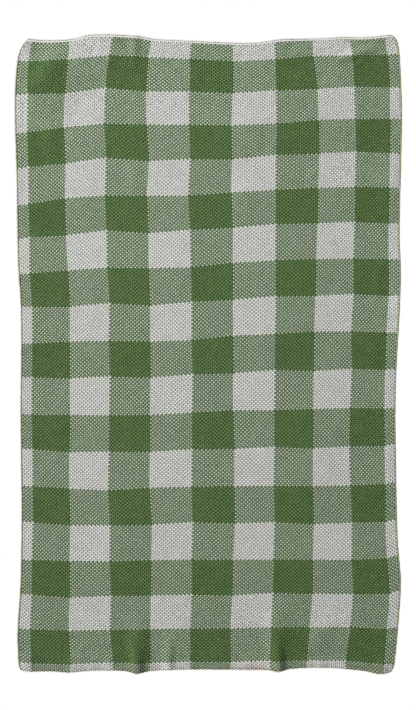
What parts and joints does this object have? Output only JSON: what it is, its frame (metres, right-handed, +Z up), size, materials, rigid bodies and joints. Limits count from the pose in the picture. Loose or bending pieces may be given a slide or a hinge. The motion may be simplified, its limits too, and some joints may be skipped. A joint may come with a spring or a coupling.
{
  "type": "tea towel",
  "caption": "Knitted cotton tea towel in two-colour gingham check, laid out flat with small flutes along its lower edge; for drying dishes and covering bread.",
  "frame": {"origin": "on the surface that the towel lies on, under the middle of its box", "axes": "+Y along the towel to its top end, +X across it to the right as seen from above, +Z up out of its face"},
  "size_m": [0.466, 0.7695, 0.0083],
  "materials": {
    "cotton_knit": "matt double knit of green and cream cotton yarn in gingham checks; the colour given is the two yarns' mean"
  },
  "bodies": {
    "root": {"tea_towel": "cotton_knit"}
  },
  "joints": []
}
